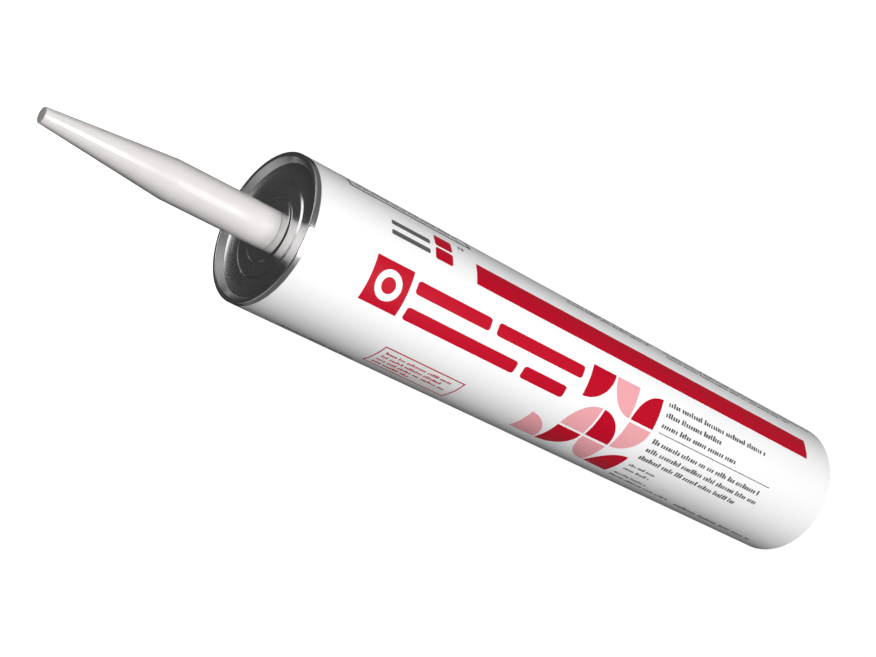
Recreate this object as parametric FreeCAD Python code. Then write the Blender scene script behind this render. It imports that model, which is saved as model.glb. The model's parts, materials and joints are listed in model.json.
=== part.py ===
import FreeCAD, Part
import math
import os

# A large caulk tube, in millimetres.
# The origin is the centre of the rear rim, +Z runs along the barrel to the tip of the spout,
# and the middle of the label faces -Y.

# Barrel of wound board
board_length = 324.75
board_outer_radius = 32.10
board_thickness = 1.65

# Paper label, glued round the barrel and lapped over its own start at the back
label_thickness = 0.15
label_lap = 8.0
label_to_skirt = 0.20

# Tinplate end, seamed over the front edge of the board
sheet_thickness = 0.25
skirt_length = 2.40
skirt_pinch = 0.15
rim_bend = 0.60
wall_inset = 0.10
wall_draft = 1.85
crease_bend = 0.35
panel_depth = 3.40
dish_rise = 0.50
dish_run = 2.30
dish_bend = 17.00
outer_step_radius = 20.00
outer_step_rise = 0.40
inner_step_radius = 13.70
inner_step_rise = 0.65
step_run = 1.00
step_bend = 0.80

# Sealing compound between the end and the cut edge of the board
compound_depth = 0.40

# Moulded spout, snapped into the middle of the end
spout_radius = 8.40
spout_wall = 1.20
shank_length = 47.15
cone_length = 55.30
knee_bend = 4.00
tip_radius = 3.24
tip_thickness = 1.50
tip_edge_bend = 0.40
neck_groove = 0.60
hole_clearance = 0.05
flange_radius = 11.00
flange_thickness = 1.20
flange_edge_bend = 0.30

# Foil disc that seals the inner end of the spout
foil_thickness = 0.15
foil_inset = 0.50

# Sealant, which fills the barrel from the plunger to the foil disc
fill_length = 284.25

# Moulded plunger, a cup that is open to the rear
plunger_length = 20.00
plunger_face = 2.00
plunger_wall = 1.30
lip_clearance = 0.10
lip_height = 2.00
lip_reach = 0.75
lip_edge_bend = 0.25
cup_bend = 0.80
gusset_count = 8
gusset_depth = 6.00
gusset_height = 9.00
gusset_thickness = 1.20

# Print on the label, as thin plates of ink.
# Lengths along the barrel are counted back from the plane of the front rim, and angles from -Y towards +X.
ink_lift = 0.03
ink_thickness = 0.10
caution_frame_line = 0.60
facts_frame_line = 1.00
small_text_height = 1.50
bold_text_height = 2.20
feature_text_height = 2.40

stripe_along = (85.0, 306.5)
stripe_angles = (35.0, 52.9)
badge_along = (33.5, 53.0)
badge_angles = (-14.0, 20.0)
badge_ring_radii = (3.4, 6.4)
title_height = 5.6
title_lines = ((11.3, 56.0, 97.0), (11.3, 101.0, 152.5), (-8.7, 56.0, 118.0), (-8.7, 122.0, 147.5))
caution_frame_along = (60.0, 104.0)
caution_frame_angles = (-65.0, -38.7)
caution_lines = ((-44.5, 63.0, 101.0), (-49.5, 63.0, 96.0), (-54.5, 63.0, 100.0), (-59.5, 63.0, 84.0))
maker_lines = ((50.0, 38.5, 59.0), (41.5, 38.5, 59.0))
maker_blocks = ((55.5, 62.0, 71.5), (43.5, 62.0, 71.5))
feature_lines = (
    (20.8, 206.5, 276.0), (12.0, 206.5, 248.0), (3.0, 206.5, 260.5),
    (-11.6, 206.5, 283.5), (-20.0, 206.5, 286.0), (-28.5, 206.5, 274.5),
)
small_lines = (
    (-39.6, 206.5, 225.0), (-45.8, 206.5, 225.0), (-55.0, 206.5, 228.0), (-61.0, 206.5, 247.0),
    (-74.0, 20.0, 60.0), (78.0, 144.0, 204.0), (71.5, 144.0, 198.0), (75.0, 209.0, 319.0), (68.5, 209.0, 300.0),
)
bold_lines = ((-62.7, 253.0, 310.0), (61.5, 76.0, 81.0))
rule_along = (206.5, 286.0)
rule_angle = -3.6
rule_height = 0.40
facts_frame_along = (19.8, 85.2)
facts_frame_angles = (68.6, 122.4)
facts_lines = (
    (76.0, 24.0, 81.0), (83.0, 24.0, 74.0), (90.0, 24.0, 79.0),
    (97.0, 24.0, 68.0), (104.0, 24.0, 80.0), (113.0, 24.0, 52.0),
)

# Pattern of quarter discs, in rows that all end at one length along the barrel
pattern_end = 203.0
pattern_first_angle = 8.5
pattern_cell = 15.6
pattern_disc_radius = 14.4
pattern_row_counts = (3, 3, 4)

# Places worked out from the sizes above
bore_radius = board_outer_radius - board_thickness
label_radius = board_outer_radius + label_thickness
ink_inner_radius = label_radius + ink_lift
ink_outer_radius = ink_inner_radius + ink_thickness
skirt_inner_radius = board_outer_radius - skirt_pinch
skirt_outer_radius = skirt_inner_radius + sheet_thickness
rim_top = board_length + compound_depth + sheet_thickness
skirt_foot = rim_top - skirt_length
label_top = skirt_foot - label_to_skirt
outer_panel_top = rim_top - panel_depth
middle_panel_top = outer_panel_top + outer_step_rise
centre_panel_top = middle_panel_top + inner_step_rise
neck_radius = spout_radius - neck_groove
hole_radius = neck_radius + hole_clearance
flange_top = centre_panel_top - sheet_thickness
flange_foot = flange_top - flange_thickness
shank_foot = centre_panel_top + hole_clearance
shank_top = centre_panel_top + shank_length
tip_top = shank_top + cone_length
fill_top = flange_foot - foil_thickness
plunger_front = fill_top - fill_length
plunger_rear = plunger_front - plunger_length
lip_radius = bore_radius - lip_clearance
plunger_skirt_radius = lip_radius - lip_reach
cup_radius = plunger_skirt_radius - plunger_wall
cup_floor = plunger_front - plunger_face

ORIGIN = FreeCAD.Vector(0, 0, 0)
UP = FreeCAD.Vector(0, 0, 1)
FULL_TURN = 360.0
HALF_TURN = 180.0
QUARTER_TURN = 90.0
SHORTEST_EDGE = 1e-6


def section_point(radius, height):
    """A point of a turned piece's section, which lies in the XZ plane."""
    return FreeCAD.Vector(radius, 0, height)


def closed_outline(corners):
    """Edges round the corners, each (radius, height, bend), with each bend as a tangent arc."""
    stops = []
    for index, (radius, height, bend) in enumerate(corners):
        corner = section_point(radius, height)
        to_last = (section_point(*corners[index - 1][:2]) - corner).normalize()
        to_next = (section_point(*corners[(index + 1) % len(corners)][:2]) - corner).normalize()
        if bend == 0:
            stops.append((corner, None, corner))
            continue
        half_angle = to_last.getAngle(to_next) / 2
        inward = (to_last + to_next).normalize()
        middle = corner + inward * (bend / math.sin(half_angle) - bend)
        run = bend / math.tan(half_angle)
        stops.append((corner + to_last * run, middle, corner + to_next * run))
    edges = []
    for index, (entry, middle, leave) in enumerate(stops):
        previous_leave = stops[index - 1][2]
        if previous_leave.distanceToPoint(entry) > SHORTEST_EDGE:
            edges.append(Part.LineSegment(previous_leave, entry).toShape())
        if middle is not None:
            edges.append(Part.Arc(entry, middle, leave).toShape())
    return edges


def turned(corners):
    """The solid that the closed section makes when it turns about the barrel's axis."""
    section = Part.Face(Part.Wire(closed_outline(corners)))
    return section.revolve(ORIGIN, UP, FULL_TURN)


def turned_ring(inner, outer, low, high):
    """A plain ring with square edges."""
    return turned([(inner, low, 0), (outer, low, 0), (outer, high, 0), (inner, high, 0)])


def bent_sheet(path, thickness):
    """Corners of a sheet whose upper side follows the path, from the axis outwards."""
    lower = []
    for index, (radius, height, bend) in enumerate(path):
        corner = section_point(radius, height)
        normals = []
        if index > 0:
            normals.append(right_hand_normal(section_point(*path[index - 1][:2]), corner))
        if index < len(path) - 1:
            normals.append(right_hand_normal(corner, section_point(*path[index + 1][:2])))
        shift = normals[0] + normals[-1]
        shift = shift * (2 * thickness / shift.dot(shift))
        place = corner + shift
        turn = normals[0].cross(normals[-1]).y
        # a bend towards the lower side is tighter there, and a bend away from it is wider
        lower_bend = bend - math.copysign(thickness, turn) if bend else 0
        lower.append((place.x, place.z, lower_bend))
    return list(path) + lower[::-1]


def right_hand_normal(start, end):
    """Unit normal on the right of the way from start to end, in the section plane."""
    way = (end - start).normalize()
    return FreeCAD.Vector(way.z, 0, -way.x)


def make_tube_wall():
    """The wound board barrel, squeezed a little where the skirt grips it."""
    return turned([
        (bore_radius, 0, 0),
        (board_outer_radius, 0, 0),
        (board_outer_radius, skirt_foot, 0),
        (skirt_inner_radius, skirt_foot, 0),
        (skirt_inner_radius, board_length, 0),
        (bore_radius, board_length, 0),
    ])


def make_label_wrap():
    """The paper label, one sheet whose end is lapped over its start."""
    wrap = turned_ring(board_outer_radius, label_radius, 0, label_top)
    half_lap = math.degrees(label_lap / label_radius) / 2
    lap_angles = (HALF_TURN - half_lap, HALF_TURN + half_lap)
    lap = curved_plate(label_radius, label_radius + label_thickness, 0, label_top, lap_angles)
    return wrap.fuse(lap).removeSplitter()


def make_metal_end():
    """The pressed tinplate end: a skirt, a rim, a wall and a dished panel with two rises towards its hole."""
    rim_corner_radius = bore_radius - wall_inset
    crease_radius = rim_corner_radius - wall_draft
    half_run = step_run / 2
    upper_side = [
        (hole_radius, centre_panel_top, 0),
        (inner_step_radius - half_run, centre_panel_top, step_bend),
        (inner_step_radius + half_run, middle_panel_top, step_bend),
        (outer_step_radius - half_run, middle_panel_top, step_bend),
        (outer_step_radius + half_run, outer_panel_top, step_bend),
        (crease_radius - dish_run, outer_panel_top, dish_bend),
        (crease_radius, outer_panel_top + dish_rise, crease_bend),
        (rim_corner_radius, rim_top, rim_bend),
        (skirt_outer_radius, rim_top, rim_bend),
        (skirt_outer_radius, skirt_foot, 0),
    ]
    return turned(bent_sheet(upper_side, sheet_thickness))


def make_seal_ring(metal_end):
    """The sealing compound, which fills the rim above the board's cut edge."""
    ring = turned_ring(bore_radius, skirt_inner_radius, board_length, rim_top - sheet_thickness)
    return ring.cut(metal_end)


def make_spout():
    """The moulded spout: a flange under the panel, a neck in its hole, a shank and a closed cone."""
    bore = spout_radius - spout_wall
    tip_bore = tip_radius - spout_wall
    return turned([
        (bore, flange_foot, 0),
        (flange_radius, flange_foot, flange_edge_bend),
        (flange_radius, flange_top, 0),
        (neck_radius, flange_top, 0),
        (neck_radius, shank_foot, 0),
        (spout_radius, shank_foot, 0),
        (spout_radius, shank_top, knee_bend),
        (tip_radius, tip_top, tip_edge_bend),
        (0, tip_top, 0),
        (0, tip_top - tip_thickness, 0),
        (tip_bore, tip_top - tip_thickness, 0),
        (bore, shank_top, 0),
    ])


def make_spout_membrane():
    """The foil disc over the inner end of the spout."""
    radius = flange_radius - foil_inset
    return Part.makeCylinder(radius, foil_thickness, FreeCAD.Vector(0, 0, fill_top))


def make_sealant():
    """The fill of sealant, from the plunger's face to the foil disc."""
    return Part.makeCylinder(bore_radius, fill_length, FreeCAD.Vector(0, 0, plunger_front))


def make_plunger():
    """The moulded plunger: a face, a skirt with two wiping lips, and gussets inside the cup."""
    cup = turned([
        (0, plunger_front, 0),
        (lip_radius, plunger_front, lip_edge_bend),
        (lip_radius, plunger_front - lip_height, 0),
        (plunger_skirt_radius, plunger_front - lip_height - lip_reach, 0),
        (plunger_skirt_radius, plunger_rear + lip_height + lip_reach, 0),
        (lip_radius, plunger_rear + lip_height, 0),
        (lip_radius, plunger_rear, lip_edge_bend),
        (cup_radius, plunger_rear, 0),
        (cup_radius, cup_floor, cup_bend),
        (0, cup_floor, 0),
    ])
    # each gusset is rooted half-way into the skirt and the face
    root_radius = cup_radius + plunger_wall / 2
    root_height = cup_floor + plunger_face / 2
    side = Part.Face(Part.makePolygon([
        section_point(root_radius, root_height),
        section_point(cup_radius - gusset_depth, root_height),
        section_point(cup_radius - gusset_depth, cup_floor),
        section_point(cup_radius, cup_floor - gusset_height),
        section_point(root_radius, cup_floor - gusset_height),
        section_point(root_radius, root_height),
    ]))
    side.translate(FreeCAD.Vector(0, -gusset_thickness / 2, 0))
    gusset = side.extrude(FreeCAD.Vector(0, gusset_thickness, 0))
    gussets = []
    for index in range(gusset_count):
        copy = gusset.copy()
        copy.rotate(ORIGIN, UP, index * FULL_TURN / gusset_count)
        gussets.append(copy)
    return cup.fuse(gussets).removeSplitter()


def curved_plate(inner, outer, low, high, angles):
    """A plate that follows the barrel between two heights and two angles, counted from -Y towards +X."""
    edge = Part.Face(Part.makePolygon([
        section_point(inner, low),
        section_point(outer, low),
        section_point(outer, high),
        section_point(inner, high),
        section_point(inner, low),
    ]))
    plate = edge.revolve(ORIGIN, UP, angles[1] - angles[0])
    plate.rotate(ORIGIN, UP, angles[0] - QUARTER_TURN)
    return plate


def ink_plate(along, angles):
    """A plate of ink between two lengths from the front rim and two angles."""
    return curved_plate(ink_inner_radius, ink_outer_radius, rim_top - along[1], rim_top - along[0], angles)


def arc_angle(length):
    """The angle that a length round the label takes, in degrees."""
    return math.degrees(length / label_radius)


def text_bar(line, height):
    """A bar in the place of a line of text, given as (angle, start, end)."""
    angle, start, end = line
    half = arc_angle(height) / 2
    return ink_plate((start, end), (angle - half, angle + half))


def ink_frame(along, angles, line):
    """Four thin plates, each butted against the next, that outline a box with lines of one thickness."""
    line_angle = arc_angle(line)
    inner_angles = (angles[0] + line_angle, angles[1] - line_angle)
    return [
        ink_plate(along, (angles[0], inner_angles[0])),
        ink_plate(along, (inner_angles[1], angles[1])),
        ink_plate((along[0], along[0] + line), inner_angles),
        ink_plate((along[1] - line, along[1]), inner_angles),
    ]


def ink_disc(along, angle, radius, quarter=None):
    """A disc of ink, or the quarter of it that is asked for, centred at a length and an angle."""
    reach = 2 * ink_outer_radius
    prism = Part.makeCylinder(radius, reach, ORIGIN, FreeCAD.Vector(1, 0, 0))
    if quarter is not None:
        box = Part.makeBox(reach, radius, radius)
        box.rotate(ORIGIN, FreeCAD.Vector(1, 0, 0), quarter * QUARTER_TURN)
        prism = prism.common(box)
    prism.translate(FreeCAD.Vector(0, 0, rim_top - along))
    prism.rotate(ORIGIN, UP, angle - QUARTER_TURN)
    # the plate is the part of the prism that lies in the skin of ink
    low = rim_top - along - radius
    skin = turned_ring(ink_inner_radius, ink_outer_radius, low, low + 2 * radius)
    return prism.common(skin)


def quarter_discs(wanted):
    """The pattern's quarter discs of one ink: 0 is the full colour and 1 is the tint."""
    discs = []
    # a quarter disc stands in a corner of its cell, so its centre is half its radius off the middle
    offset = pattern_disc_radius / 2
    for row, count in enumerate(pattern_row_counts):
        for column in range(count):
            quarter = (column + 2 * row) % 4
            ink = (column + row) % 2
            if ink != wanted:
                continue
            around = -offset if quarter in (0, 3) else offset
            upward = -offset if quarter in (0, 1) else offset
            along = pattern_end - (column + 0.5) * pattern_cell - upward
            angle = pattern_first_angle - arc_angle(row * pattern_cell) + arc_angle(around)
            discs.append(ink_disc(along, angle, pattern_disc_radius, quarter))
    return discs


def make_print_red():
    """Everything in the full red: stripe, badge, title bars, caution frame and half of the pattern."""
    badge_middle = sum(badge_along) / 2
    badge_angle = sum(badge_angles) / 2
    ring_inner, ring_outer = badge_ring_radii
    ring = ink_disc(badge_middle, badge_angle, ring_outer).cut(ink_disc(badge_middle, badge_angle, ring_inner))
    plates = [ink_plate(stripe_along, stripe_angles), ink_plate(badge_along, badge_angles).cut(ring)]
    plates += [text_bar(line, title_height) for line in title_lines]
    plates += ink_frame(caution_frame_along, caution_frame_angles, caution_frame_line)
    plates += [text_bar(line, small_text_height) for line in caution_lines]
    plates += [text_bar(line, title_height) for line in maker_blocks]
    plates += quarter_discs(0)
    return Part.makeCompound(solids_in(plates))


def make_print_pink():
    """The tinted half of the pattern."""
    return Part.makeCompound(solids_in(quarter_discs(1)))


def make_print_grey():
    """Everything in dark grey: lines of text, the rule and the facts frame."""
    plates = [text_bar(line, feature_text_height) for line in feature_lines]
    plates += [text_bar(line, small_text_height) for line in small_lines + facts_lines]
    plates += [text_bar(line, bold_text_height) for line in bold_lines + maker_lines]
    plates += ink_frame(facts_frame_along, facts_frame_angles, facts_frame_line)
    plates.append(text_bar((rule_angle, *rule_along), rule_height))
    return Part.makeCompound(solids_in(plates))


def solids_in(shapes):
    """Every solid of the shapes, in their order."""
    return [solid for shape in shapes for solid in shape.Solids]


metal_end = make_metal_end()
pieces = {
    "tube_wall": make_tube_wall(),
    "label_wrap": make_label_wrap(),
    "metal_end": metal_end,
    "seal_ring": make_seal_ring(metal_end),
    "spout": make_spout(),
    "spout_membrane": make_spout_membrane(),
    "sealant": make_sealant(),
    "plunger": make_plunger(),
    "print_red": make_print_red(),
    "print_pink": make_print_pink(),
    "print_grey": make_print_grey(),
}

os.makedirs("parts", exist_ok=True)
for name, shape in pieces.items():
    shape.exportStep(f"parts/{name}.step")
    state = "valid" if shape.isValid() else "NOT VALID"
    print(name, state, len(shape.Solids), "solids", round(shape.Volume), "mm3")
print("plunger face", round(plunger_front, 3), "fill top", round(fill_top, 3), "rim top", round(rim_top, 3))
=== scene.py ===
import json
import math
import random

import bpy
from mathutils import Matrix, Vector


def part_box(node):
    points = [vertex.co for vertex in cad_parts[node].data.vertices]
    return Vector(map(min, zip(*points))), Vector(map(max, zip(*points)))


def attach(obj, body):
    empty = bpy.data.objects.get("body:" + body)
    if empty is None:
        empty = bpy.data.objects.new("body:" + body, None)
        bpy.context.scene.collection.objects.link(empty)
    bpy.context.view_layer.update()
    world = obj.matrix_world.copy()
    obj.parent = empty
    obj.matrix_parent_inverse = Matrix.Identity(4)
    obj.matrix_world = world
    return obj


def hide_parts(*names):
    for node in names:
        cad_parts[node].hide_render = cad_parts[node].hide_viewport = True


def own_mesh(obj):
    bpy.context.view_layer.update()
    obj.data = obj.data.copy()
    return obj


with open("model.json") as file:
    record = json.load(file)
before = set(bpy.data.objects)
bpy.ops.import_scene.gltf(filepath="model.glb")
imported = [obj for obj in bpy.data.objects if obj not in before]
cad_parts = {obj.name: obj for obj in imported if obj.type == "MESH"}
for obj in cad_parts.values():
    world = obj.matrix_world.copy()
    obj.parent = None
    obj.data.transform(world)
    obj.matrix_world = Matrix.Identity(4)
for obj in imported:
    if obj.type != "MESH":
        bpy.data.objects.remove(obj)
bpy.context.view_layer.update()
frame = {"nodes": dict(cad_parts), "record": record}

# A caulk tube that stands on its rear rim, with the spout up and the middle of its label facing -Y.
# Sizes are in millimetres times MM, so that everything made here is in metres.
MM = 0.001
mounts = {mount["name"]: mount for mount in frame["record"]["mounts"]}

# Sizes read from the frame
RIM_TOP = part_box("metal_end")[1].z
SKIRT_HEIGHT = 2.40 * MM
SKIRT_FOOT = mounts["front_rim"]["pos_m"][2] - SKIRT_HEIGHT
SKIRT_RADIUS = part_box("metal_end")[1].x
BOARD_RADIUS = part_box("tube_wall")[1].x
BOARD_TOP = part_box("tube_wall")[1].z
LABEL_RADIUS = mounts["barrel"]["dims"]["r_mm"] * MM
LABEL_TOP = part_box("label_wrap")[1].z
SHANK_RADIUS = mounts["spout_shank"]["dims"]["r_mm"] * MM
SPOUT_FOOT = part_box("spout")[0].z
SPOUT_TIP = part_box("spout")[1].z
FLANGE_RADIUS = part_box("spout")[1].x
FILL_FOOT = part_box("sealant")[0].z
FILL_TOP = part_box("sealant")[1].z
BORE_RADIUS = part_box("sealant")[1].x
PLUNGER_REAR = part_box("plunger")[0].z
PLUNGER_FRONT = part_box("plunger")[1].z
LIP_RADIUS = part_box("plunger")[1].x

# Board barrel, with its lining as a finish, and the fill inside it
BOARD_PLIES = 5
LINING_DEPTH = 0.02 * MM
LINING_END = 0.05 * MM
FILL_CLEARANCE = 0.03 * MM
SKIRT_PINCH = 0.15 * MM
CUT_EDGE_BEND = 0.12 * MM

# Label
LABEL_THICKNESS = LABEL_RADIUS - BOARD_RADIUS
LABEL_LAP = 8.0 * MM
LAP_RAMP = 1.2 * MM
LAP_PASTE = 0.01 * MM

# Tinplate end
SHEET_THICKNESS = 0.25 * MM
RIM_BEND = 0.60 * MM
RIM_CORNER_RADIUS = BORE_RADIUS - 0.10 * MM
WALL_DRAFT = 1.85 * MM
CREASE_BEND = 0.35 * MM
PANEL_DEPTH = 3.40 * MM
DISH_RISE = 0.50 * MM
DISH_RUN = 2.30 * MM
DISH_BEND = 17.00 * MM
OUTER_STEP_RADIUS = 20.00 * MM
OUTER_STEP_RISE = 0.40 * MM
INNER_STEP_RADIUS = 13.70 * MM
INNER_STEP_RISE = 0.65 * MM
STEP_RUN = 1.00 * MM
STEP_BEND = 0.80 * MM
HOLE_RADIUS = 7.85 * MM
HOLE_CLEARANCE = 0.05 * MM

# Spout
SPOUT_WALL = 1.20 * MM
SHANK_LENGTH = 47.15 * MM
KNEE_BEND = 4.00 * MM
TIP_RADIUS = 3.24 * MM
TIP_THICKNESS = 1.50 * MM
TIP_EDGE_BEND = 0.40 * MM
FLANGE_THICKNESS = 1.20 * MM
FLANGE_EDGE_BEND = 0.30 * MM

# Plunger
PLUNGER_FACE = 2.00 * MM
PLUNGER_WALL = 1.30 * MM
LIP_HEIGHT = 2.00 * MM
LIP_REACH = 0.75 * MM
LIP_EDGE_BEND = 0.25 * MM
CUP_BEND = 0.80 * MM
GUSSET_COUNT = 8
GUSSET_DEPTH = 6.00 * MM
GUSSET_HEIGHT = 9.00 * MM
GUSSET_THICKNESS = 1.20 * MM

# Print: lengths along the barrel are counted back from the plane of the front rim in millimetres,
# and angles from -Y towards +X in degrees
INK_LIFT = 0.02 * MM
INK_THICKNESS = 0.05 * MM
TITLE_HEIGHT = 5.6
TITLE_BEND = 1.4
MAKER_BLOCK_BEND = 0.9
MAKER_LINE_BEND = 0.6
SMALL_TEXT_HEIGHT = 1.5
BOLD_TEXT_HEIGHT = 2.2
FEATURE_TEXT_HEIGHT = 2.4
WIDE_BLOCKS = 0.80
NARROW_BLOCKS = 0.66
WORD_BLOCKS = (3, 9)
WORD_GAP = 0.75
BLOCK_WIDTHS = (0.55, 0.78)
BLOCK_HEIGHTS = (0.70, 0.70, 0.70, 1.0)
STRIPE = (85.0, 306.5, 35.0, 52.9)
BADGE_MIDDLE = (43.25, 3.0)
BADGE_HALF_SIDE = 9.65
BADGE_RING = (3.4, 6.4)
TITLE_LINES = ((11.3, 56.0, 97.0), (11.3, 101.0, 152.5), (-8.7, 56.0, 118.0), (-8.7, 122.0, 147.5))
MAKER_BLOCKS = ((55.5, 62.0, 71.5), (43.5, 62.0, 71.5))
CAUTION_FRAME = (60.0, 104.0, -65.0, -38.7)
CAUTION_FRAME_LINE = 0.6
CAUTION_LINES = ((-44.5, 63.0, 101.0), (-49.5, 63.0, 96.0), (-54.5, 63.0, 100.0), (-59.5, 63.0, 84.0))
FEATURE_LINES = (
    (20.8, 206.5, 276.0), (12.0, 206.5, 248.0), (3.0, 206.5, 260.5),
    (-11.6, 206.5, 283.5), (-20.0, 206.5, 286.0), (-28.5, 206.5, 274.5),
)
SMALL_LINES = (
    (-39.6, 206.5, 225.0), (-45.8, 206.5, 225.0), (-55.0, 206.5, 228.0), (-61.0, 206.5, 247.0),
    (-74.0, 20.0, 60.0), (78.0, 144.0, 204.0), (71.5, 144.0, 198.0),
    (75.0, 209.0, 319.0), (68.5, 209.0, 300.0),
)
BOLD_LINES = ((-62.7, 253.0, 310.0), (61.5, 76.0, 81.0))
MAKER_LINES = ((50.0, 38.5, 59.0), (41.5, 38.5, 59.0))
RULE = (-3.6, 206.5, 286.0)
RULE_HEIGHT = 0.4
FACTS_FRAME = (19.8, 85.2, 68.6, 122.4)
FACTS_FRAME_LINE = 1.0
FACTS_LINES = (
    (76.0, 24.0, 81.0), (83.0, 24.0, 74.0), (90.0, 24.0, 79.0),
    (97.0, 24.0, 68.0), (104.0, 24.0, 80.0), (113.0, 24.0, 52.0),
)
PATTERN_END = 203.0
PATTERN_FIRST_ANGLE = 8.5
PATTERN_CELL = 15.6
PATTERN_DISC_RADIUS = 14.4
PATTERN_ROW_COUNTS = (3, 3, 4)
PRINT_SEED = 7

# Fineness of the meshes
AROUND = 288
BEND_STEP = math.radians(9)
LEAST_BEND_STEPS = 6
PRINT_STEP = 0.9
SHARP_ANGLE = math.radians(35)
MERGE_DISTANCE = 0.002 * MM
ON_AXIS = 1e-7
FILL_AROUND = 96
ROUNDED_BAR_COLUMNS = 16
FAN_COLUMNS = 14
FAN_STEP = math.radians(5)
FAN_LEAST_STEPS = 8

# Camera, which looks down on the tube and is rolled so that the spout points to the upper left
CAMERA_PLACE = Vector((0.0, -0.59436, 0.65667))
CAMERA_TARGET = Vector((-0.004875, 0.0, 0.22868))
CAMERA_ROLL = math.radians(-63.4)
CAMERA_LENS = 71.544
CAMERA_SENSOR = 36.0
CARD_SPREAD = math.radians(105)
LIGHT_DISTANCE = 1.5
DIM_WORLD = 0.033
PALE_WORLD = 0.97
FLOOR_REACH = 8.0
FLOOR_GREY = 0.20
FLOOR_GLOW = 0.93
FLOOR_UNSEEN_GREY = 0.04


# Camera, floor and lights

def make_camera():
    data = bpy.data.cameras.new("camera")
    data.lens = CAMERA_LENS
    data.sensor_width = CAMERA_SENSOR
    camera = bpy.data.objects.new("camera", data)
    bpy.context.scene.collection.objects.link(camera)
    aim = (CAMERA_TARGET - CAMERA_PLACE).to_track_quat("-Z", "Y").to_matrix().to_4x4()
    camera.matrix_world = Matrix.Translation(CAMERA_PLACE) @ aim @ Matrix.Rotation(CAMERA_ROLL, 4, "Z")
    bpy.context.scene.camera = camera


def make_softbox(name, angle, elevation, distance, middle_height, width, height, power):
    """A soft rectangular light that stands round the tube at an angle from -Y towards +X."""
    data = bpy.data.lights.new(name, "AREA")
    data.shape = "RECTANGLE"
    data.size = width
    data.size_y = height
    data.energy = power
    lamp = bpy.data.objects.new(name, data)
    bpy.context.scene.collection.objects.link(lamp)
    lamp.visible_camera = False
    turn = math.radians(angle)
    tilt = math.radians(elevation)
    away = Vector((math.sin(turn) * math.cos(tilt), -math.cos(turn) * math.cos(tilt), math.sin(tilt)))
    aim = (-away).to_track_quat("-Z", "Y").to_matrix().to_4x4()
    lamp.matrix_world = Matrix.Translation(away * distance + Vector((0, 0, middle_height))) @ aim
    return lamp


def make_floor_card(name, place, width, depth, radiance):
    """A pale card that lies on the floor in front of the tube, for its gloss to mirror."""
    card = make_softbox(name, 0, 90, 0, 0, width, depth, radiance * math.pi * width * depth)
    card.matrix_world = Matrix.Translation(place) @ Matrix.Rotation(math.pi, 4, "X")
    card.visible_diffuse = False


def make_lights():
    make_softbox("front_softbox", 8.5, 15, LIGHT_DISTANCE, 0.12, 0.8, 0.9, 28.3)
    make_softbox("back_softbox", 160, 61, LIGHT_DISTANCE, 0.3, 0.78, 0.78, 2.5)
    # the rear light reaches only the sides that the photo doesn't show
    rear = make_softbox("rear_softbox", 180, 8, LIGHT_DISTANCE, 0.2, 0.4, 0.9, 23.0)
    rear.visible_glossy = False
    for name, angle, power in (("right_card", 86, 2.39), ("left_card", -85, 2.10)):
        card = make_softbox(name, angle, 18, LIGHT_DISTANCE, 0.32, 3.4, 1.7, power)
        # the cards are dim, fade towards their ends, and are there for the metal to mirror
        card.data.spread = CARD_SPREAD
        card.visible_diffuse = False
    make_floor_card("bright_floor_card", (0.085, -0.72, 0.004), 0.42, 0.42, 3.2)
    make_floor_card("middle_floor_card", (0.045, -0.72, 0.003), 0.63, 0.42, 0.35)
    make_floor_card("dim_floor_card", (0.075, -0.28, 0.002), 1.65, 1.4, 0.11)


def make_world():
    """A pale surround that the camera sees, and a dim one that lights the tube."""
    world = bpy.data.worlds.new("studio")
    bpy.context.scene.world = world
    world.use_nodes = True
    tree = world.node_tree
    tree.nodes.clear()
    path = add(tree, "ShaderNodeLightPath")
    dim = add(tree, "ShaderNodeBackground", {"Color": (1, 1, 1, 1), "Strength": DIM_WORLD})
    pale = add(tree, "ShaderNodeBackground", {"Color": (1, 1, 1, 1), "Strength": PALE_WORLD})
    seen = path.outputs["Is Camera Ray"]
    mixed = add(tree, "ShaderNodeMixShader", {0: seen, 1: dim.outputs[0], 2: pale.outputs[0]})
    add(tree, "ShaderNodeOutputWorld", {"Surface": mixed.outputs[0]})


def make_floor():
    """A plain pale floor. It glows softly to the camera, takes faint shadows and throws little light back."""
    reach = FLOOR_REACH
    corners = [(-reach, -reach, 0), (reach, -reach, 0), (reach, reach, 0), (-reach, reach, 0)]
    mesh = bpy.data.meshes.new("floor")
    mesh.from_pydata(corners, [], [(0, 1, 2, 3)])
    floor = bpy.data.objects.new("floor", mesh)
    bpy.context.scene.collection.objects.link(floor)
    material, tree, surface = new_material("floor_paint")
    tree.nodes.remove(surface)
    path = add(tree, "ShaderNodeLightPath")
    matte = add(tree, "ShaderNodeBsdfDiffuse", {"Color": (FLOOR_GREY, FLOOR_GREY, FLOOR_GREY, 1)})
    glow = add(tree, "ShaderNodeEmission", {"Color": (1, 1, 1, 1), "Strength": FLOOR_GLOW})
    seen = add(tree, "ShaderNodeAddShader", {0: matte.outputs[0], 1: glow.outputs[0]})
    dark = (FLOOR_UNSEEN_GREY, FLOOR_UNSEEN_GREY, FLOOR_UNSEEN_GREY, 1)
    unseen = add(tree, "ShaderNodeBsdfDiffuse", {"Color": dark})
    to_camera = path.outputs["Is Camera Ray"]
    mixed = add(tree, "ShaderNodeMixShader", {0: to_camera, 1: unseen.outputs[0], 2: seen.outputs[0]})
    tree.links.new(mixed.outputs[0], tree.nodes["Material Output"].inputs["Surface"])
    mesh.materials.append(material)


# Helpers for node trees

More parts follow.
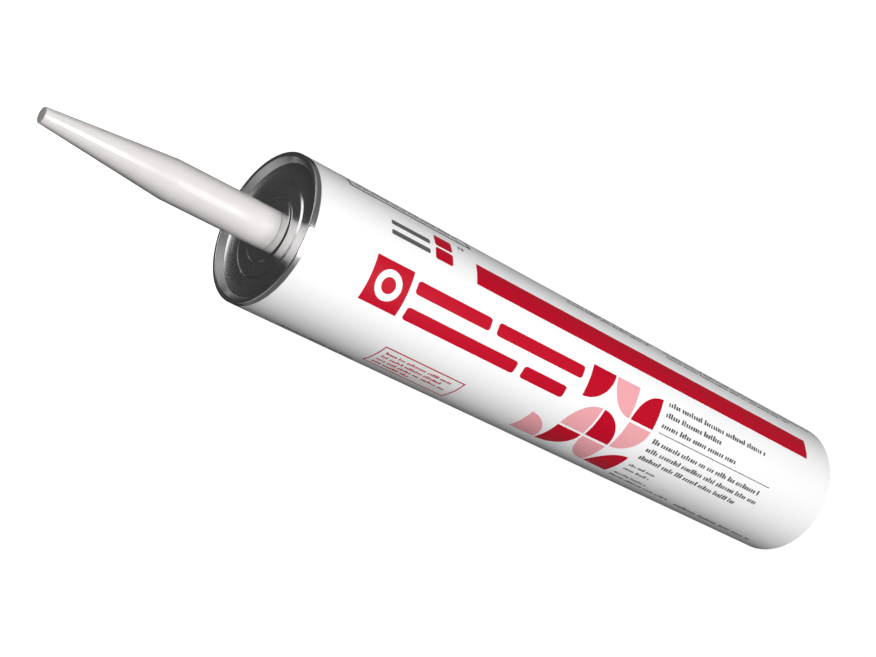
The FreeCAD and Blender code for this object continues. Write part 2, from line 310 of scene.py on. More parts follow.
def add(tree, kind, inputs=None, **settings):
    """A new node with its settings, and its inputs linked to sockets or set to values."""
    made = tree.nodes.new(kind)
    for name, value in settings.items():
        setattr(made, name, value)
    for key, value in (inputs or {}).items():
        if isinstance(value, bpy.types.NodeSocket):
            tree.links.new(value, made.inputs[key])
        else:
            made.inputs[key].default_value = value
    return made


def maths(tree, operation, first, second=0.0, third=0.0):
    """The output of a Math node."""
    return add(tree, "ShaderNodeMath", {0: first, 1: second, 2: third}, operation=operation).outputs[0]


def new_group(kind, name, inputs, outputs):
    """A node group with float inputs {name: value} and typed outputs {name: socket type}."""
    group = bpy.data.node_groups.new(name, kind)
    for label, value in inputs.items():
        socket = group.interface.new_socket(label, in_out="INPUT", socket_type="NodeSocketFloat")
        socket.default_value = value
    for label, socket_type in outputs.items():
        group.interface.new_socket(label, in_out="OUTPUT", socket_type=socket_type)
    return group, add(group, "NodeGroupInput"), add(group, "NodeGroupOutput")


def place_group(tree, group, inputs=None):
    """A shader group placed in a tree with its own values."""
    made = tree.nodes.new("ShaderNodeGroup")
    made.node_tree = group
    for key, value in (inputs or {}).items():
        made.inputs[key].default_value = value
    return made


def new_material(name):
    material = bpy.data.materials.new(name)
    material.use_nodes = True
    tree = material.node_tree
    return material, tree, tree.nodes["Principled BSDF"]


# Shared effects

def make_grain_group():
    """Fine mottling of tone and height, as in paper, board and moulded plastic."""
    group, given, result = new_group(
        "ShaderNodeTree", "grain",
        {"Fine scale": 900.0, "Broad scale": 60.0, "Tone range": 0.04, "Broad share": 0.4},
        {"Tone": "NodeSocketFloat", "Height": "NodeSocketFloat"},
    )
    place = add(group, "ShaderNodeTexCoord").outputs["Object"]
    fine_scale = given.outputs["Fine scale"]
    broad_scale = given.outputs["Broad scale"]
    fine = add(group, "ShaderNodeTexNoise", {"Vector": place, "Scale": fine_scale, "Detail": 3.0})
    broad = add(group, "ShaderNodeTexNoise", {"Vector": place, "Scale": broad_scale, "Detail": 2.0})
    share = given.outputs["Broad share"]
    mixed = add(group, "ShaderNodeMix", {0: share, 2: fine.outputs[0], 3: broad.outputs[0]})
    centred = maths(group, "SUBTRACT", mixed.outputs[0], 0.5)
    spread = maths(group, "MULTIPLY", centred, given.outputs["Tone range"])
    doubled = maths(group, "MULTIPLY", spread, 2.0)
    tone = maths(group, "ADD", doubled, 1.0)
    group.links.new(tone, result.inputs["Tone"])
    group.links.new(mixed.outputs[0], result.inputs["Height"])
    return group


def make_winding_group():
    """Faint helical lines where the plies of the wound board meet, 1 on a line and 0 elsewhere."""
    group, given, result = new_group(
        "ShaderNodeTree", "winding",
        {"Pitch": 0.095, "Line width": 0.0009},
        {"Line": "NodeSocketFloat"},
    )
    place = add(group, "ShaderNodeTexCoord").outputs["Object"]
    parts = add(group, "ShaderNodeSeparateXYZ", {0: place})
    angle = maths(group, "ARCTAN2", parts.outputs["Y"], parts.outputs["X"])
    turn = maths(group, "DIVIDE", angle, 2 * math.pi)
    climb = maths(group, "MULTIPLY", turn, given.outputs["Pitch"])
    shifted = maths(group, "ADD", parts.outputs["Z"], climb)
    within = maths(group, "FLOORED_MODULO", shifted, given.outputs["Pitch"])
    half = maths(group, "MULTIPLY", given.outputs["Pitch"], 0.5)
    off = maths(group, "ABSOLUTE", maths(group, "SUBTRACT", within, half))
    line = add(group, "ShaderNodeMapRange", {
        "Value": off, "From Min": 0.0, "From Max": given.outputs["Line width"], "To Min": 1.0, "To Max": 0.0,
    }, interpolation_type="SMOOTHSTEP")
    group.links.new(line.outputs[0], result.inputs["Line"])
    return group


def make_handling_group():
    """Roughness that changes softly over the surface, as handling leaves it."""
    group, given, result = new_group(
        "ShaderNodeTree", "handling",
        {"Scale": 25.0, "Smooth": 0.2, "Rough": 0.35},
        {"Roughness": "NodeSocketFloat"},
    )
    place = add(group, "ShaderNodeTexCoord").outputs["Object"]
    scale = given.outputs["Scale"]
    cloud = add(group, "ShaderNodeTexNoise", {"Vector": place, "Scale": scale, "Detail": 4.0})
    spread = add(group, "ShaderNodeMapRange", {
        "Value": cloud.outputs[0], "From Min": 0.3, "From Max": 0.7,
        "To Min": given.outputs["Smooth"], "To Max": given.outputs["Rough"],
    })
    group.links.new(spread.outputs[0], result.inputs["Roughness"])
    return group


GRAIN = make_grain_group()
WINDING = make_winding_group()
HANDLING = make_handling_group()


def toned(tree, colour, tone):
    """A colour multiplied by a tone that changes over the surface."""
    grey = add(tree, "ShaderNodeCombineColor", {0: tone, 1: tone, 2: tone})
    mixed = add(tree, "ShaderNodeMix", {0: 1.0, 6: (*colour, 1.0), 7: grey.outputs[0]},
                data_type="RGBA", blend_type="MULTIPLY")
    return mixed.outputs[2]


def bumped(tree, surface, height, strength, distance):
    """Gives the surface a bump from a height."""
    bump = add(tree, "ShaderNodeBump", {"Height": height, "Strength": strength, "Distance": distance})
    tree.links.new(bump.outputs[0], surface.inputs["Normal"])


# Materials

def make_printed_paper(name, colour, smooth, rough):
    """Coated paper, bare or under ink, over the faint lines of the wound board."""
    material, tree, surface = new_material(name)
    grain = place_group(tree, GRAIN, {
        "Fine scale": 1400.0, "Broad scale": 45.0, "Tone range": 0.025, "Broad share": 0.35,
    })
    winding = place_group(tree, WINDING)
    handling = place_group(tree, HANDLING, {"Scale": 18.0, "Smooth": smooth, "Rough": rough})
    tree.links.new(toned(tree, colour, grain.outputs["Tone"]), surface.inputs["Base Color"])
    tree.links.new(handling.outputs["Roughness"], surface.inputs["Roughness"])
    ridge = maths(tree, "MULTIPLY", winding.outputs["Line"], -0.6)
    height = maths(tree, "MULTIPLY_ADD", grain.outputs["Height"], 0.25, ridge)
    bumped(tree, surface, height, 0.25, 0.00006)
    surface.inputs["Specular IOR Level"].default_value = 0.28
    return material


def make_tinplate():
    """Bright rolled tinplate, with fine rolling lines and soft smudges."""
    material, tree, surface = new_material("tinplate")
    place = add(tree, "ShaderNodeTexCoord").outputs["Object"]
    rolled = add(tree, "ShaderNodeMapping", {"Vector": place, "Scale": (25.0, 1800.0, 1800.0)})
    lines = add(tree, "ShaderNodeTexNoise", {"Vector": rolled.outputs[0], "Scale": 1.0, "Detail": 3.0})
    grain = place_group(tree, GRAIN, {
        "Fine scale": 500.0, "Broad scale": 40.0, "Tone range": 0.06, "Broad share": 0.6,
    })
    handling = place_group(tree, HANDLING, {"Scale": 35.0, "Smooth": 0.18, "Rough": 0.22})
    tree.links.new(toned(tree, (0.80, 0.80, 0.81), grain.outputs["Tone"]), surface.inputs["Base Color"])
    tree.links.new(handling.outputs["Roughness"], surface.inputs["Roughness"])
    surface.inputs["Metallic"].default_value = 1.0
    bumped(tree, surface, lines.outputs[0], 0.04, 0.00002)
    return material


def make_spout_plastic():
    """White polyethylene, a little translucent, with a faint parting line on each side."""
    material, tree, surface = new_material("spout_plastic")
    grain = place_group(tree, GRAIN, {
        "Fine scale": 650.0, "Broad scale": 90.0, "Tone range": 0.02, "Broad share": 0.5,
    })
    handling = place_group(tree, HANDLING, {"Scale": 60.0, "Smooth": 0.14, "Rough": 0.20})
    place = add(tree, "ShaderNodeTexCoord").outputs["Object"]
    across = maths(tree, "ABSOLUTE", add(tree, "ShaderNodeSeparateXYZ", {0: place}).outputs["Y"])
    parting = add(tree, "ShaderNodeMapRange", {
        "Value": across, "From Min": 0.0, "From Max": 0.18 * MM, "To Min": 1.0, "To Max": 0.0,
    }, interpolation_type="SMOOTHSTEP")
    height = maths(tree, "MULTIPLY_ADD", grain.outputs["Height"], 0.3, parting.outputs[0])
    tree.links.new(toned(tree, (0.725, 0.693, 0.683), grain.outputs["Tone"]), surface.inputs["Base Color"])
    tree.links.new(handling.outputs["Roughness"], surface.inputs["Roughness"])
    bumped(tree, surface, height, 0.2, 0.00008)
    surface.inputs["Subsurface Weight"].default_value = 0.25
    surface.inputs["Subsurface Scale"].default_value = 0.002
    surface.inputs["Subsurface Radius"].default_value = (1.0, 0.9, 0.8)
    return material


def make_board():
    """Grey-brown wound board: fibres all over, plies on its cut ends and a foil lining in its bore."""
    material, tree, surface = new_material("wound_board")
    place = add(tree, "ShaderNodeTexCoord").outputs["Object"]
    parts = add(tree, "ShaderNodeSeparateXYZ", {0: place})
    flat = add(tree, "ShaderNodeCombineXYZ", {0: parts.outputs["X"], 1: parts.outputs["Y"]})
    radius = add(tree, "ShaderNodeVectorMath", {0: flat.outputs[0]}, operation="LENGTH").outputs["Value"]
    ply_depth = (BOARD_RADIUS - BORE_RADIUS) / BOARD_PLIES
    depth = maths(tree, "DIVIDE", maths(tree, "SUBTRACT", radius, BORE_RADIUS), ply_depth)
    within = maths(tree, "PINGPONG", depth, 0.5)
    glue = add(tree, "ShaderNodeMapRange", {
        "Value": within, "From Min": 0.0, "From Max": 0.14, "To Min": 0.62, "To Max": 1.0,
    })
    grain = place_group(tree, GRAIN, {
        "Fine scale": 1100.0, "Broad scale": 160.0, "Tone range": 0.22, "Broad share": 0.35,
    })
    tone = maths(tree, "MULTIPLY", glue.outputs[0], grain.outputs["Tone"])
    board = toned(tree, (0.36, 0.27, 0.18), tone)
    lining = add(tree, "ShaderNodeMapRange", {
        "Value": radius, "From Min": BORE_RADIUS + LINING_DEPTH, "From Max": BORE_RADIUS + LINING_END,
        "To Min": 1.0, "To Max": 0.0,
    })
    foil = toned(tree, (0.74, 0.74, 0.75), grain.outputs["Tone"])
    colour = add(tree, "ShaderNodeMix", {0: lining.outputs[0], 6: board, 7: foil}, data_type="RGBA")
    tree.links.new(colour.outputs[2], surface.inputs["Base Color"])
    tree.links.new(lining.outputs[0], surface.inputs["Metallic"])
    rough = add(tree, "ShaderNodeMapRange", {"Value": lining.outputs[0], "To Min": 0.88, "To Max": 0.34})
    tree.links.new(rough.outputs[0], surface.inputs["Roughness"])
    winding = place_group(tree, WINDING, {"Pitch": 0.075})
    height = maths(tree, "MULTIPLY_ADD", winding.outputs["Line"], 0.8, grain.outputs["Height"])
    bumped(tree, surface, height, 0.5, 0.00008)
    return material


def make_plain(name, colour, smooth, rough, fine_scale, tone_range, bump, metallic=0.0):
    """A moulded, poured or rolled material with grain and a soft change of gloss."""
    material, tree, surface = new_material(name)
    grain = place_group(tree, GRAIN, {
        "Fine scale": fine_scale, "Broad scale": fine_scale / 9, "Tone range": tone_range,
    })
    handling = place_group(tree, HANDLING, {"Scale": 40.0, "Smooth": smooth, "Rough": rough})
    tree.links.new(toned(tree, colour, grain.outputs["Tone"]), surface.inputs["Base Color"])
    tree.links.new(handling.outputs["Roughness"], surface.inputs["Roughness"])
    bumped(tree, surface, grain.outputs["Height"], bump, 0.0001)
    surface.inputs["Metallic"].default_value = metallic
    return material


MATERIALS = {
    "label_paper": make_printed_paper("label_paper", (0.90, 0.90, 0.90), 0.36, 0.44),
    "ink_red": make_printed_paper("ink_red", (0.47, 0.001, 0.017), 0.30, 0.38),
    "ink_pink": make_printed_paper("ink_pink", (0.80, 0.36, 0.39), 0.32, 0.40),
    "ink_grey": make_printed_paper("ink_grey", (0.10, 0.10, 0.105), 0.32, 0.40),
    "tinplate": make_tinplate(),
    "spout_plastic": make_spout_plastic(),
    "board": make_board(),
    "sealing_compound": make_plain("sealing_compound", (0.07, 0.066, 0.06), 0.5, 0.7, 700.0, 0.12, 0.3),
    "foil": make_plain("foil", (0.72, 0.72, 0.73), 0.22, 0.36, 420.0, 0.06, 0.35, metallic=1.0),
    "sealant_paste": make_plain("sealant_paste", (0.62, 0.55, 0.43), 0.35, 0.55, 240.0, 0.08, 0.4),
    "plunger_plastic": make_plain("plunger_plastic", (0.80, 0.80, 0.78), 0.30, 0.42, 600.0, 0.03, 0.15),
}


# Helpers for meshes

def rounded(corners):
    """Points of an outline through corners (radius, height, bend), with each bend as an arc."""
    points = []
    count = len(corners)
    for index, (radius, height, bend) in enumerate(corners):
        corner = Vector((radius, height))
        if bend == 0:
            points.append(corner)
            continue
        to_last = (Vector(corners[index - 1][:2]) - corner).normalized()
        to_next = (Vector(corners[(index + 1) % count][:2]) - corner).normalized()
        half = to_last.angle(to_next) / 2
        inward = (to_last + to_next).normalized()
        centre = corner + inward * (bend / math.sin(half))
        entry = corner + to_last * (bend / math.tan(half)) - centre
        sweep = math.pi - 2 * half
        turn = 1 if to_last.x * to_next.y - to_last.y * to_next.x < 0 else -1
        steps = max(LEAST_BEND_STEPS, round(sweep / BEND_STEP))
        for step in range(steps + 1):
            angle = turn * sweep * step / steps
            arm = Matrix.Rotation(angle, 2) @ entry
            points.append(centre + arm)
    return points


def turned_mesh(outline, around=AROUND):
    """Vertices and faces of the closed shell that a counter-clockwise outline makes about the axis."""
    vertices = []
    rings = []
    for radius, height in outline:
        start = len(vertices)
        if radius < ON_AXIS:
            vertices.append((0, 0, height))
            rings.append([start] * around)
            continue
        for index in range(around):
            angle = 2 * math.pi * index / around
            vertices.append((radius * math.cos(angle), radius * math.sin(angle), height))
        rings.append(list(range(start, start + around)))
    faces = []
    for ring, following in zip(rings, rings[1:] + rings[:1]):
        for index in range(around):
            beside = (index + 1) % around
            corners = list(dict.fromkeys((ring[index], ring[beside], following[beside], following[index])))
            if len(corners) > 2:
                faces.append(corners)
    return vertices, faces


def new_piece(name, vertices, faces, body, slot, replaced=(), sharp=SHARP_ANGLE):
    """A finished piece: smooth but for its sharp edges, on its body, with its slot's material."""
    mesh = bpy.data.meshes.new(name)
    mesh.from_pydata(vertices, [], faces)
    mesh.validate()
    piece = bpy.data.objects.new(name, mesh)
    bpy.context.scene.collection.objects.link(piece)
    return dress(piece, body, slot, replaced, sharp)


def dress(piece, body, slot, replaced=(), sharp=SHARP_ANGLE):
    """Smooths a piece, gives it its slot's material, puts it on its body and hides the CAD nodes that it
    replaces.
    """
    mesh = piece.data
    mesh.shade_smooth()
    mesh.set_sharp_from_angle(angle=sharp)
    mesh.materials.clear()
    mesh.materials.append(MATERIALS[slot])
    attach(piece, body)
    if replaced:
        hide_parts(*replaced)
    return piece


def settled(piece):
    """Turns the result of a piece's modifiers into its plain mesh."""
    bpy.context.view_layer.update()
    evaluated = piece.evaluated_get(bpy.context.evaluated_depsgraph_get())
    mesh = bpy.data.meshes.new_from_object(evaluated)
    piece.modifiers.clear()
    piece.data = mesh
    return piece


# Pieces of the tube

def make_board_tube():
    outline = rounded([
        (BORE_RADIUS, 0, CUT_EDGE_BEND),
        (BOARD_RADIUS, 0, CUT_EDGE_BEND),
        (BOARD_RADIUS, SKIRT_FOOT, 0),
        (BOARD_RADIUS - SKIRT_PINCH, SKIRT_FOOT, 0),
        (BOARD_RADIUS - SKIRT_PINCH, BOARD_TOP, 0),
        (BORE_RADIUS, BOARD_TOP, 0),
    ])
    new_piece("board_tube", *turned_mesh(outline), "cartridge", "board", ["tube_wall"])


def make_label():
    """One sheet of paper wound once round the board, its end climbing over its start at the back."""
    lap_angle = LABEL_LAP / LABEL_RADIUS
    ramp_angle = LAP_RAMP / LABEL_RADIUS
    start = math.pi / 2 - lap_angle / 2
    sweep = 2 * math.pi + lap_angle
    steps = AROUND + round(AROUND * lap_angle / (2 * math.pi))
    vertices = []
    for step in range(steps + 1):
        turned = sweep * step / steps
        climb = min(1.0, max(0.0, (turned - 2 * math.pi + ramp_angle) / ramp_angle))
        inner = BOARD_RADIUS + climb * (LABEL_THICKNESS + LAP_PASTE)
        # the sheet's own end stays inside the lap that the frame has
        outer = min(inner + LABEL_THICKNESS, LABEL_RADIUS + LABEL_THICKNESS)
        way = (math.cos(start + turned), math.sin(start + turned))
        for radius, height in ((inner, 0.0), (outer, 0.0), (outer, LABEL_TOP), (inner, LABEL_TOP)):
            vertices.append((radius * way[0], radius * way[1], height))
    faces = [(0, 1, 2, 3)]
    for step in range(steps):
        near = 4 * step
        far = near + 4
        for side in range(4):
            beside = (side + 1) % 4
            faces.append((near + side, far + side, far + beside, near + beside))
    last = 4 * steps
    faces.append((last + 3, last + 2, last + 1, last))
    new_piece("label_sheet", vertices, faces, "cartridge", "label_paper", ["label_wrap"])


def make_metal_end():
    half_run = STEP_RUN / 2
    crease_radius = RIM_CORNER_RADIUS - WALL_DRAFT
    outer_panel = RIM_TOP - PANEL_DEPTH
    middle_panel = outer_panel + OUTER_STEP_RISE
    centre_panel = middle_panel + INNER_STEP_RISE
    upper_side = [
        (HOLE_RADIUS, centre_panel, 0),
        (INNER_STEP_RADIUS - half_run, centre_panel, STEP_BEND),
        (INNER_STEP_RADIUS + half_run, middle_panel, STEP_BEND),
        (OUTER_STEP_RADIUS - half_run, middle_panel, STEP_BEND),
        (OUTER_STEP_RADIUS + half_run, outer_panel, STEP_BEND),
        (crease_radius - DISH_RUN, outer_panel, DISH_BEND),
        (crease_radius, outer_panel + DISH_RISE, CREASE_BEND),
        (RIM_CORNER_RADIUS, RIM_TOP, RIM_BEND),
        (SKIRT_RADIUS, RIM_TOP, RIM_BEND),
        (SKIRT_RADIUS, SKIRT_FOOT, 0),
    ]
    upper = rounded(upper_side)
    lower = []
    for index, point in enumerate(upper):
        before = upper[max(index - 1, 0)]
        after = upper[min(index + 1, len(upper) - 1)]
        way = (after - before).normalized()
        lower.append(point + Vector((way.y, -way.x)) * SHEET_THICKNESS)
    # the outline runs outwards below and back above, which is counter-clockwise
    outline = lower + upper[::-1]
    new_piece("pressed_end", *turned_mesh(outline), "cartridge", "tinplate", ["metal_end"])


def make_spout():
    bore = SHANK_RADIUS - SPOUT_WALL
    tip_bore = TIP_RADIUS - SPOUT_WALL
    flange_top = SPOUT_FOOT + FLANGE_THICKNESS
    panel_top = flange_top + SHEET_THICKNESS
    shank_top = panel_top + SHANK_LENGTH
    outline = rounded([
        (bore, SPOUT_FOOT, 0),
        (FLANGE_RADIUS, SPOUT_FOOT, FLANGE_EDGE_BEND),
        (FLANGE_RADIUS, flange_top, 0),
        (HOLE_RADIUS - HOLE_CLEARANCE, flange_top, 0),
        (HOLE_RADIUS - HOLE_CLEARANCE, panel_top + HOLE_CLEARANCE, 0),
        (SHANK_RADIUS, panel_top + HOLE_CLEARANCE, 0),
        (SHANK_RADIUS, shank_top, KNEE_BEND),
        (TIP_RADIUS, SPOUT_TIP, TIP_EDGE_BEND),
        (0, SPOUT_TIP, 0),
        (0, SPOUT_TIP - TIP_THICKNESS, 0),
        (tip_bore, SPOUT_TIP - TIP_THICKNESS, 0),
        (bore, shank_top, 0),
    ])
    new_piece("spout_moulding", *turned_mesh(outline), "cartridge", "spout_plastic", ["spout"])


def make_sealant():
    side = BORE_RADIUS - FILL_CLEARANCE
    outline = rounded([(0, FILL_FOOT, 0), (side, FILL_FOOT, 0), (side, FILL_TOP, 0), (0, FILL_TOP, 0)])
    vertices, faces = turned_mesh(outline, FILL_AROUND)
    fill = new_piece("sealant_fill", vertices, faces, "cartridge", "sealant_paste", ["sealant"])
    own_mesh(fill)


def make_plunger():
    skirt = LIP_RADIUS - LIP_REACH
    cup = skirt - PLUNGER_WALL
    floor_height = PLUNGER_FRONT - PLUNGER_FACE
    outline = rounded([
        (0, PLUNGER_FRONT, 0),
        (0, floor_height, 0),
        (cup, floor_height, CUP_BEND),
        (cup, PLUNGER_REAR, 0),
        (LIP_RADIUS, PLUNGER_REAR, LIP_EDGE_BEND),
        (LIP_RADIUS, PLUNGER_REAR + LIP_HEIGHT, 0),
        (skirt, PLUNGER_REAR + LIP_HEIGHT + LIP_REACH, 0),
        (skirt, PLUNGER_FRONT - LIP_HEIGHT - LIP_REACH, 0),
        (LIP_RADIUS, PLUNGER_FRONT - LIP_HEIGHT, 0),
        (LIP_RADIUS, PLUNGER_FRONT, LIP_EDGE_BEND),
    ])
    new_piece("plunger_cup", *turned_mesh(outline), "plunger", "plunger_plastic", ["plunger"])
    make_gussets(cup, floor_height)


def make_gussets(cup, floor_height):
    """The plunger's gussets, one plate repeated round the axis by Geometry Nodes."""
    root = cup + PLUNGER_WALL / 2
    root_height = floor_height + PLUNGER_FACE / 2
    profile = [
        (root, root_height),
        (cup - GUSSET_DEPTH, root_height),
        (cup - GUSSET_DEPTH, floor_height),
        (cup, floor_height - GUSSET_HEIGHT),
        (root, floor_height - GUSSET_HEIGHT),
    ]
    half = GUSSET_THICKNESS / 2
    count = len(profile)
    vertices = [(radius, -half, height) for radius, height in profile]
    vertices += [(radius, half, height) for radius, height in profile]
    faces = [tuple(range(count)), tuple(range(count, 2 * count))[::-1]]
    for index in range(count):
        beside = (index + 1) % count
        faces.append((index, index + count, beside + count, beside))
    mesh = bpy.data.meshes.new("plunger_gussets")
    mesh.from_pydata(vertices, [], faces)
    piece = bpy.data.objects.new("plunger_gussets", mesh)
    bpy.context.scene.collection.objects.link(piece)
    tree = bpy.data.node_groups.new("repeat_round_axis", "GeometryNodeTree")
    tree.interface.new_socket("Geometry", in_out="INPUT", socket_type="NodeSocketGeometry")
    wanted = tree.interface.new_socket("Count", in_out="INPUT", socket_type="NodeSocketInt")
    tree.interface.new_socket("Geometry", in_out="OUTPUT", socket_type="NodeSocketGeometry")
    given = add(tree, "NodeGroupInput")
    result = add(tree, "NodeGroupOutput")
    spots = add(tree, "GeometryNodePoints", {"Count": given.outputs["Count"]})
    index = add(tree, "GeometryNodeInputIndex").outputs[0]
    share = maths(tree, "DIVIDE", index, given.outputs["Count"])
    angle = maths(tree, "MULTIPLY", share, 2 * math.pi)
    turn = add(tree, "ShaderNodeCombineXYZ", {"Z": angle})
    copies = add(tree, "GeometryNodeInstanceOnPoints", {
        "Points": spots.outputs[0], "Instance": given.outputs["Geometry"], "Rotation": turn.outputs[0],
    })
    solid = add(tree, "GeometryNodeRealizeInstances", {0: copies.outputs[0]})
    painted = add(tree, "GeometryNodeSetMaterial", {
        "Geometry": solid.outputs[0], "Material": MATERIALS["plunger_plastic"],
    })
    tree.links.new(painted.outputs[0], result.inputs[0])
    modifier = piece.modifiers.new("gussets", "NODES")
    modifier.node_group = tree
    modifier[wanted.identifier] = GUSSET_COUNT
    dress(settled(piece), "plunger", "plunger_plastic")


# Print, laid out flat and then wrapped round the label by Geometry Nodes.
# Flat places are (length round the label, height), in metres. Flat faces point to -Y and the ink is raised
# towards +Y, because the wrapping mirrors them.

def round_label(angle):
    """The length round the label from its middle to an angle."""
    return math.radians(angle) * LABEL_RADIUS


def height_at(along):
    """The height of a place that lies so many millimetres behind the front rim."""
    return RIM_TOP - along * MM


class FlatPrint:
    """The flat faces of one ink."""

    def __init__(self):
        self.vertices = []
        self.faces = []

    def grid(self, place, columns, rows):
        """Faces over a grid whose corner places come from place(column share, row share)."""
        start = len(self.vertices)
        for row in range(rows + 1):
            for column in range(columns + 1):
                side, height = place(column / columns, row / rows)
                self.vertices.append((side, 0.0, height))
        for row in range(rows):
            for column in range(columns):
                corner = start + row * (columns + 1) + column
                above = corner + columns + 1
                self.faces.append((corner, corner + 1, above + 1, above))

    def bar(self, along_from, along_to, angle_from, angle_to):
        """A bar between two lengths behind the rim and two angles."""
        low, high = height_at(along_to), height_at(along_from)
        left, right = round_label(angle_from), round_label(angle_to)
        columns = max(1, math.ceil((right - left) / (PRINT_STEP * MM)))
        self.grid(lambda across, up: (left + across * (right - left), low + up * (high - low)), columns, 1)

    def rounded_bar(self, line, thickness, bend):
        """A bar with rounded corners in the place of a word, given as (angle, start, end)."""
        angle, start, end = line
        low, high = height_at(end), height_at(start)
        middle = round_label(angle)
        half = thickness * MM / 2
        bend = bend * MM

        def place(across, up):
            side = (2 * across - 1) * half
            # past the straight part of the end, the corner's arc shortens the bar
            over = max(0.0, abs(side) - (half - bend))
            cut = bend - math.sqrt(max(0.0, bend * bend - over * over))
            return middle + side, low + cut + up * (high - low - 2 * cut)

        self.grid(place, ROUNDED_BAR_COLUMNS, 1)

    def outlined_box(self, along_from, along_to, angle_from, angle_to, line):
        """The outline of a box, as one net of faces whose inner cells are left out."""
        low, high = height_at(along_to), height_at(along_from)
        left, right = round_label(angle_from), round_label(angle_to)
        thickness = line * MM
        inner = right - left - 2 * thickness
        columns = math.ceil(inner / (PRINT_STEP * MM))
        sides = [left + thickness + inner * column / columns for column in range(columns + 1)]
        sides = [left] + sides + [right]
        heights = (low, low + thickness, high - thickness, high)
        start = len(self.vertices)
        self.vertices += [(side, 0.0, height) for height in heights for side in sides]
        for row in range(len(heights) - 1):
            for column in range(len(sides) - 1):
                if row == 1 and 0 < column < len(sides) - 2:
                    continue
                corner = start + row * len(sides) + column
                above = corner + len(sides)
                self.faces.append((corner, corner + 1, above + 1, above))

    def fan(self, along, angle, inner, outer, first, sweep):
        """A part of a disc or ring: inner and outer give its radii, in millimetres, at each direction."""
        middle, height = round_label(angle), height_at(along)

        def place(out, turned):
            way = first + sweep * turned
            radius = (inner(way) + out * (outer(way) - inner(way))) * MM
            return middle + radius * math.cos(way), height + radius * math.sin(way)

        self.grid(place, FAN_COLUMNS, max(FAN_LEAST_STEPS, round(sweep / FAN_STEP)))


def make_wrap_group():
    """Thickens flat print towards +Y and wraps it round the barrel."""
    tree = bpy.data.node_groups.new("wrap_on_label", "GeometryNodeTree")
    tree.interface.new_socket("Geometry", in_out="INPUT", socket_type="NodeSocketGeometry")
    sizes = {}
    for label in ("Radius", "Lift", "Thickness"):
        socket = tree.interface.new_socket(label, in_out="INPUT", socket_type="NodeSocketFloat")
        sizes[label] = socket.identifier
    ink = tree.interface.new_socket("Ink", in_out="INPUT", socket_type="NodeSocketMaterial")
    sizes["Ink"] = ink.identifier
    tree.interface.new_socket("Geometry", in_out="OUTPUT", socket_type="NodeSocketGeometry")
    given = add(tree, "NodeGroupInput")
    result = add(tree, "NodeGroupOutput")
    # the seams of the fans close before the thickness comes, so that no wall is left inside
    whole = add(tree, "GeometryNodeMergeByDistance", {
        "Geometry": given.outputs["Geometry"], "Distance": MERGE_DISTANCE,
    })
    up = add(tree, "ShaderNodeCombineXYZ", {"Y": given.outputs["Thickness"]})
    raised = add(tree, "GeometryNodeExtrudeMesh", {
        "Mesh": whole.outputs[0], "Offset": up.outputs[0], "Offset Scale": 1.0, "Individual": False,
    }, mode="FACES")
    under = add(tree, "GeometryNodeFlipFaces", {0: whole.outputs[0]})
    shell = add(tree, "GeometryNodeJoinGeometry")
    tree.links.new(under.outputs[0], shell.inputs[0])
    tree.links.new(raised.outputs["Mesh"], shell.inputs[0])
    closed = add(tree, "GeometryNodeMergeByDistance", {
        "Geometry": shell.outputs[0], "Distance": MERGE_DISTANCE,
    })
    place = add(tree, "ShaderNodeSeparateXYZ", {0: add(tree, "GeometryNodeInputPosition").outputs[0]})
    angle = maths(tree, "DIVIDE", place.outputs["X"], given.outputs["Radius"])
    lifted = maths(tree, "ADD", given.outputs["Radius"], given.outputs["Lift"])
    radius = maths(tree, "ADD", lifted, place.outputs["Y"])
    side = maths(tree, "MULTIPLY", radius, maths(tree, "SINE", angle))
    front = maths(tree, "MULTIPLY", radius, maths(tree, "COSINE", angle))
    wrapped = add(tree, "ShaderNodeCombineXYZ", {
        "X": side, "Y": maths(tree, "MULTIPLY", front, -1.0), "Z": place.outputs["Z"],
    })
    moved = add(tree, "GeometryNodeSetPosition", {
        "Geometry": closed.outputs[0], "Position": wrapped.outputs[0],
    })
    solid = add(tree, "GeometryNodeRealizeInstances", {0: moved.outputs[0]})
    painted = add(tree, "GeometryNodeSetMaterial", {
        "Geometry": solid.outputs[0], "Material": given.outputs["Ink"],
    })
    tree.links.new(painted.outputs[0], result.inputs[0])
    return tree, sizes


WRAP, WRAP_SIZES = make_wrap_group()


def wrap_print(name, flat, slot, replaced=()):
    """Wraps the flat faces of an ink round the label as a finished piece."""
    mesh = bpy.data.meshes.new(name)
    mesh.from_pydata(flat.vertices, [], flat.faces)
    piece = bpy.data.objects.new(name, mesh)
    bpy.context.scene.collection.objects.link(piece)
    modifier = piece.modifiers.new("wrap", "NODES")
    modifier.node_group = WRAP
    modifier[WRAP_SIZES["Radius"]] = LABEL_RADIUS
    modifier[WRAP_SIZES["Lift"]] = INK_LIFT
    modifier[WRAP_SIZES["Thickness"]] = INK_THICKNESS
    modifier[WRAP_SIZES["Ink"]] = MATERIALS[slot]
    return dress(settled(piece), "cartridge", slot, replaced)


def print_blocks(flat, line, height, chance, pitch_share=WIDE_BLOCKS):
    """A line of plain blocks in word-long runs, in the place of a line of small text."""
    angle, start, end = line
    pitch = height * pitch_share
    along = start
    left_in_word = chance.randint(*WORD_BLOCKS)
    base = angle - math.degrees(height * MM / LABEL_RADIUS) / 2
    while along + pitch < end:
        if left_in_word == 0:
            left_in_word = chance.randint(*WORD_BLOCKS)
            along += pitch * WORD_GAP
            continue
        width = pitch * chance.uniform(*BLOCK_WIDTHS)
        tall = height * chance.choice(BLOCK_HEIGHTS)
        flat.bar(along, along + width, base, base + math.degrees(tall * MM / LABEL_RADIUS))
        along += pitch
        left_in_word -= 1


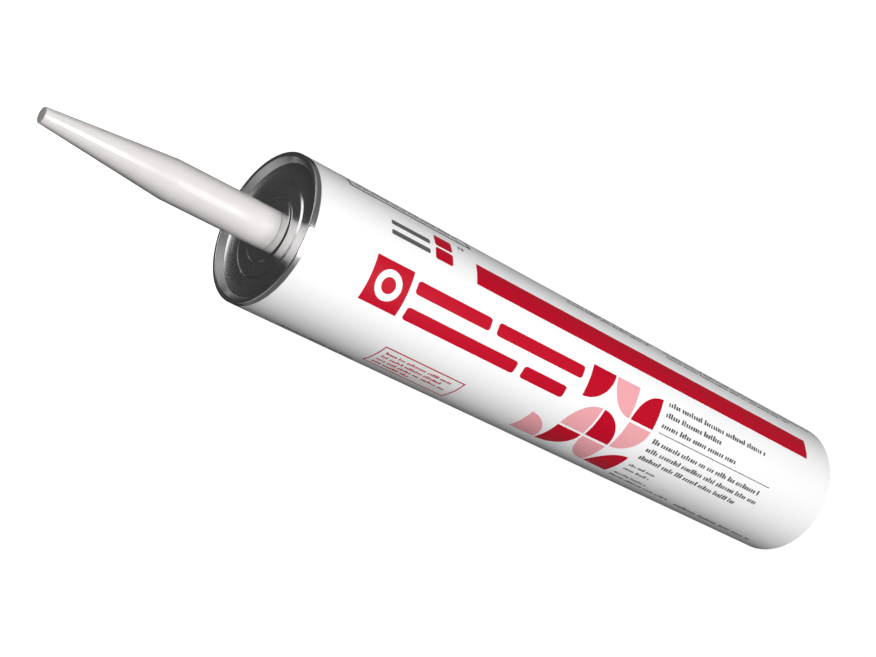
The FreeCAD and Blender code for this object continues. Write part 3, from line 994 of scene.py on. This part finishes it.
def quarter_discs(flat, wanted):
    """The pattern's quarter discs of one ink: 0 is the full colour and 1 is the tint."""
    offset = PATTERN_DISC_RADIUS / 2
    for row, count in enumerate(PATTERN_ROW_COUNTS):
        for column in range(count):
            quarter = (column + 2 * row) % 4
            if (column + row) % 2 != wanted:
                continue
            around = -offset if quarter in (0, 3) else offset
            upward = -offset if quarter in (0, 1) else offset
            along = PATTERN_END - (column + 0.5) * PATTERN_CELL - upward
            arc = math.degrees((around - row * PATTERN_CELL) * MM / LABEL_RADIUS)
            flat.fan(along, PATTERN_FIRST_ANGLE + arc, lambda way: 0.0, lambda way: PATTERN_DISC_RADIUS,
                     quarter * math.pi / 2, math.pi / 2)


def make_red_print(chance):
    red = FlatPrint()
    red.bar(*STRIPE)
    inner, outer = BADGE_RING
    along, angle = BADGE_MIDDLE
    full_turn = 2 * math.pi
    red.fan(along, angle, lambda way: 0.0, lambda way: inner, 0, full_turn)
    red.fan(along, angle, lambda way: outer,
            lambda way: BADGE_HALF_SIDE / max(abs(math.cos(way)), abs(math.sin(way))), 0, full_turn)
    for line in TITLE_LINES:
        red.rounded_bar(line, TITLE_HEIGHT, TITLE_BEND)
    for line in MAKER_BLOCKS:
        red.rounded_bar(line, TITLE_HEIGHT, MAKER_BLOCK_BEND)
    red.outlined_box(*CAUTION_FRAME, CAUTION_FRAME_LINE)
    for line in CAUTION_LINES:
        print_blocks(red, line, SMALL_TEXT_HEIGHT, chance)
    quarter_discs(red, 0)
    wrap_print("ink_red_fields", red, "ink_red", ["print_red"])


def make_pink_print():
    pink = FlatPrint()
    quarter_discs(pink, 1)
    wrap_print("ink_pink_fields", pink, "ink_pink", ["print_pink"])


def make_grey_print(chance):
    grey = FlatPrint()
    for line in FEATURE_LINES:
        print_blocks(grey, line, FEATURE_TEXT_HEIGHT, chance, NARROW_BLOCKS)
    for line in SMALL_LINES + FACTS_LINES:
        print_blocks(grey, line, SMALL_TEXT_HEIGHT, chance)
    for line in BOLD_LINES:
        print_blocks(grey, line, BOLD_TEXT_HEIGHT, chance)
    for line in MAKER_LINES:
        grey.rounded_bar(line, BOLD_TEXT_HEIGHT, MAKER_LINE_BEND)
    grey.outlined_box(*FACTS_FRAME, FACTS_FRAME_LINE)
    angle, start, end = RULE
    half = math.degrees(RULE_HEIGHT * MM / LABEL_RADIUS) / 2
    grey.bar(start, end, angle - half, angle + half)
    wrap_print("ink_grey_lines", grey, "ink_grey", ["print_grey"])


# CAD nodes that stay as they are get their material

def paint_node(node, slot):
    mesh = frame["nodes"][node].data
    mesh.materials.clear()
    mesh.materials.append(MATERIALS[slot])


make_camera()
make_world()
make_floor()
make_lights()
make_board_tube()
make_label()
make_metal_end()
make_spout()
make_sealant()
make_plunger()
chance = random.Random(PRINT_SEED)
make_red_print(chance)
make_pink_print()
make_grey_print(chance)
paint_node("seal_ring", "sealing_compound")
paint_node("spout_membrane", "foil")
bpy.context.scene.view_settings.view_transform = "Standard"
